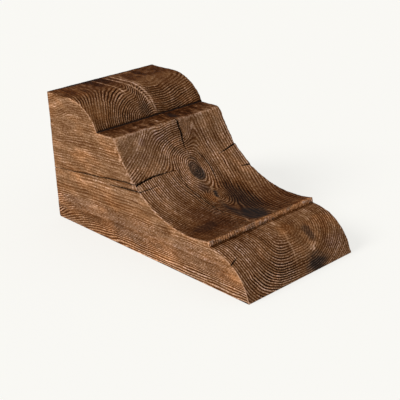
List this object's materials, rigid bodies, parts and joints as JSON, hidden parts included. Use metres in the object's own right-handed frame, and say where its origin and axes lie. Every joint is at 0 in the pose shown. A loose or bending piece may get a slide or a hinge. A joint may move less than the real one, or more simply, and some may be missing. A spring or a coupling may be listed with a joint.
{
  "type": "corbel",
  "caption": "Timber corbel bracket with a moulded face: a convex quarter-round, a ledge, a deep cove, a raised lip and a rounded nose.",
  "frame": {"origin": "centre of the long flat back, which goes against the wall", "axes": "+X from the square bearing end to the rounded nose, +Y across the width, +Z straight out of the back towards the moulded face"},
  "size_m": [0.39, 0.193, 0.19],
  "materials": {
    "timber": "brown stained timber with standing growth rings, dry and matt"
  },
  "bodies": {
    "root": {"corbel": "timber"}
  },
  "joints": []
}
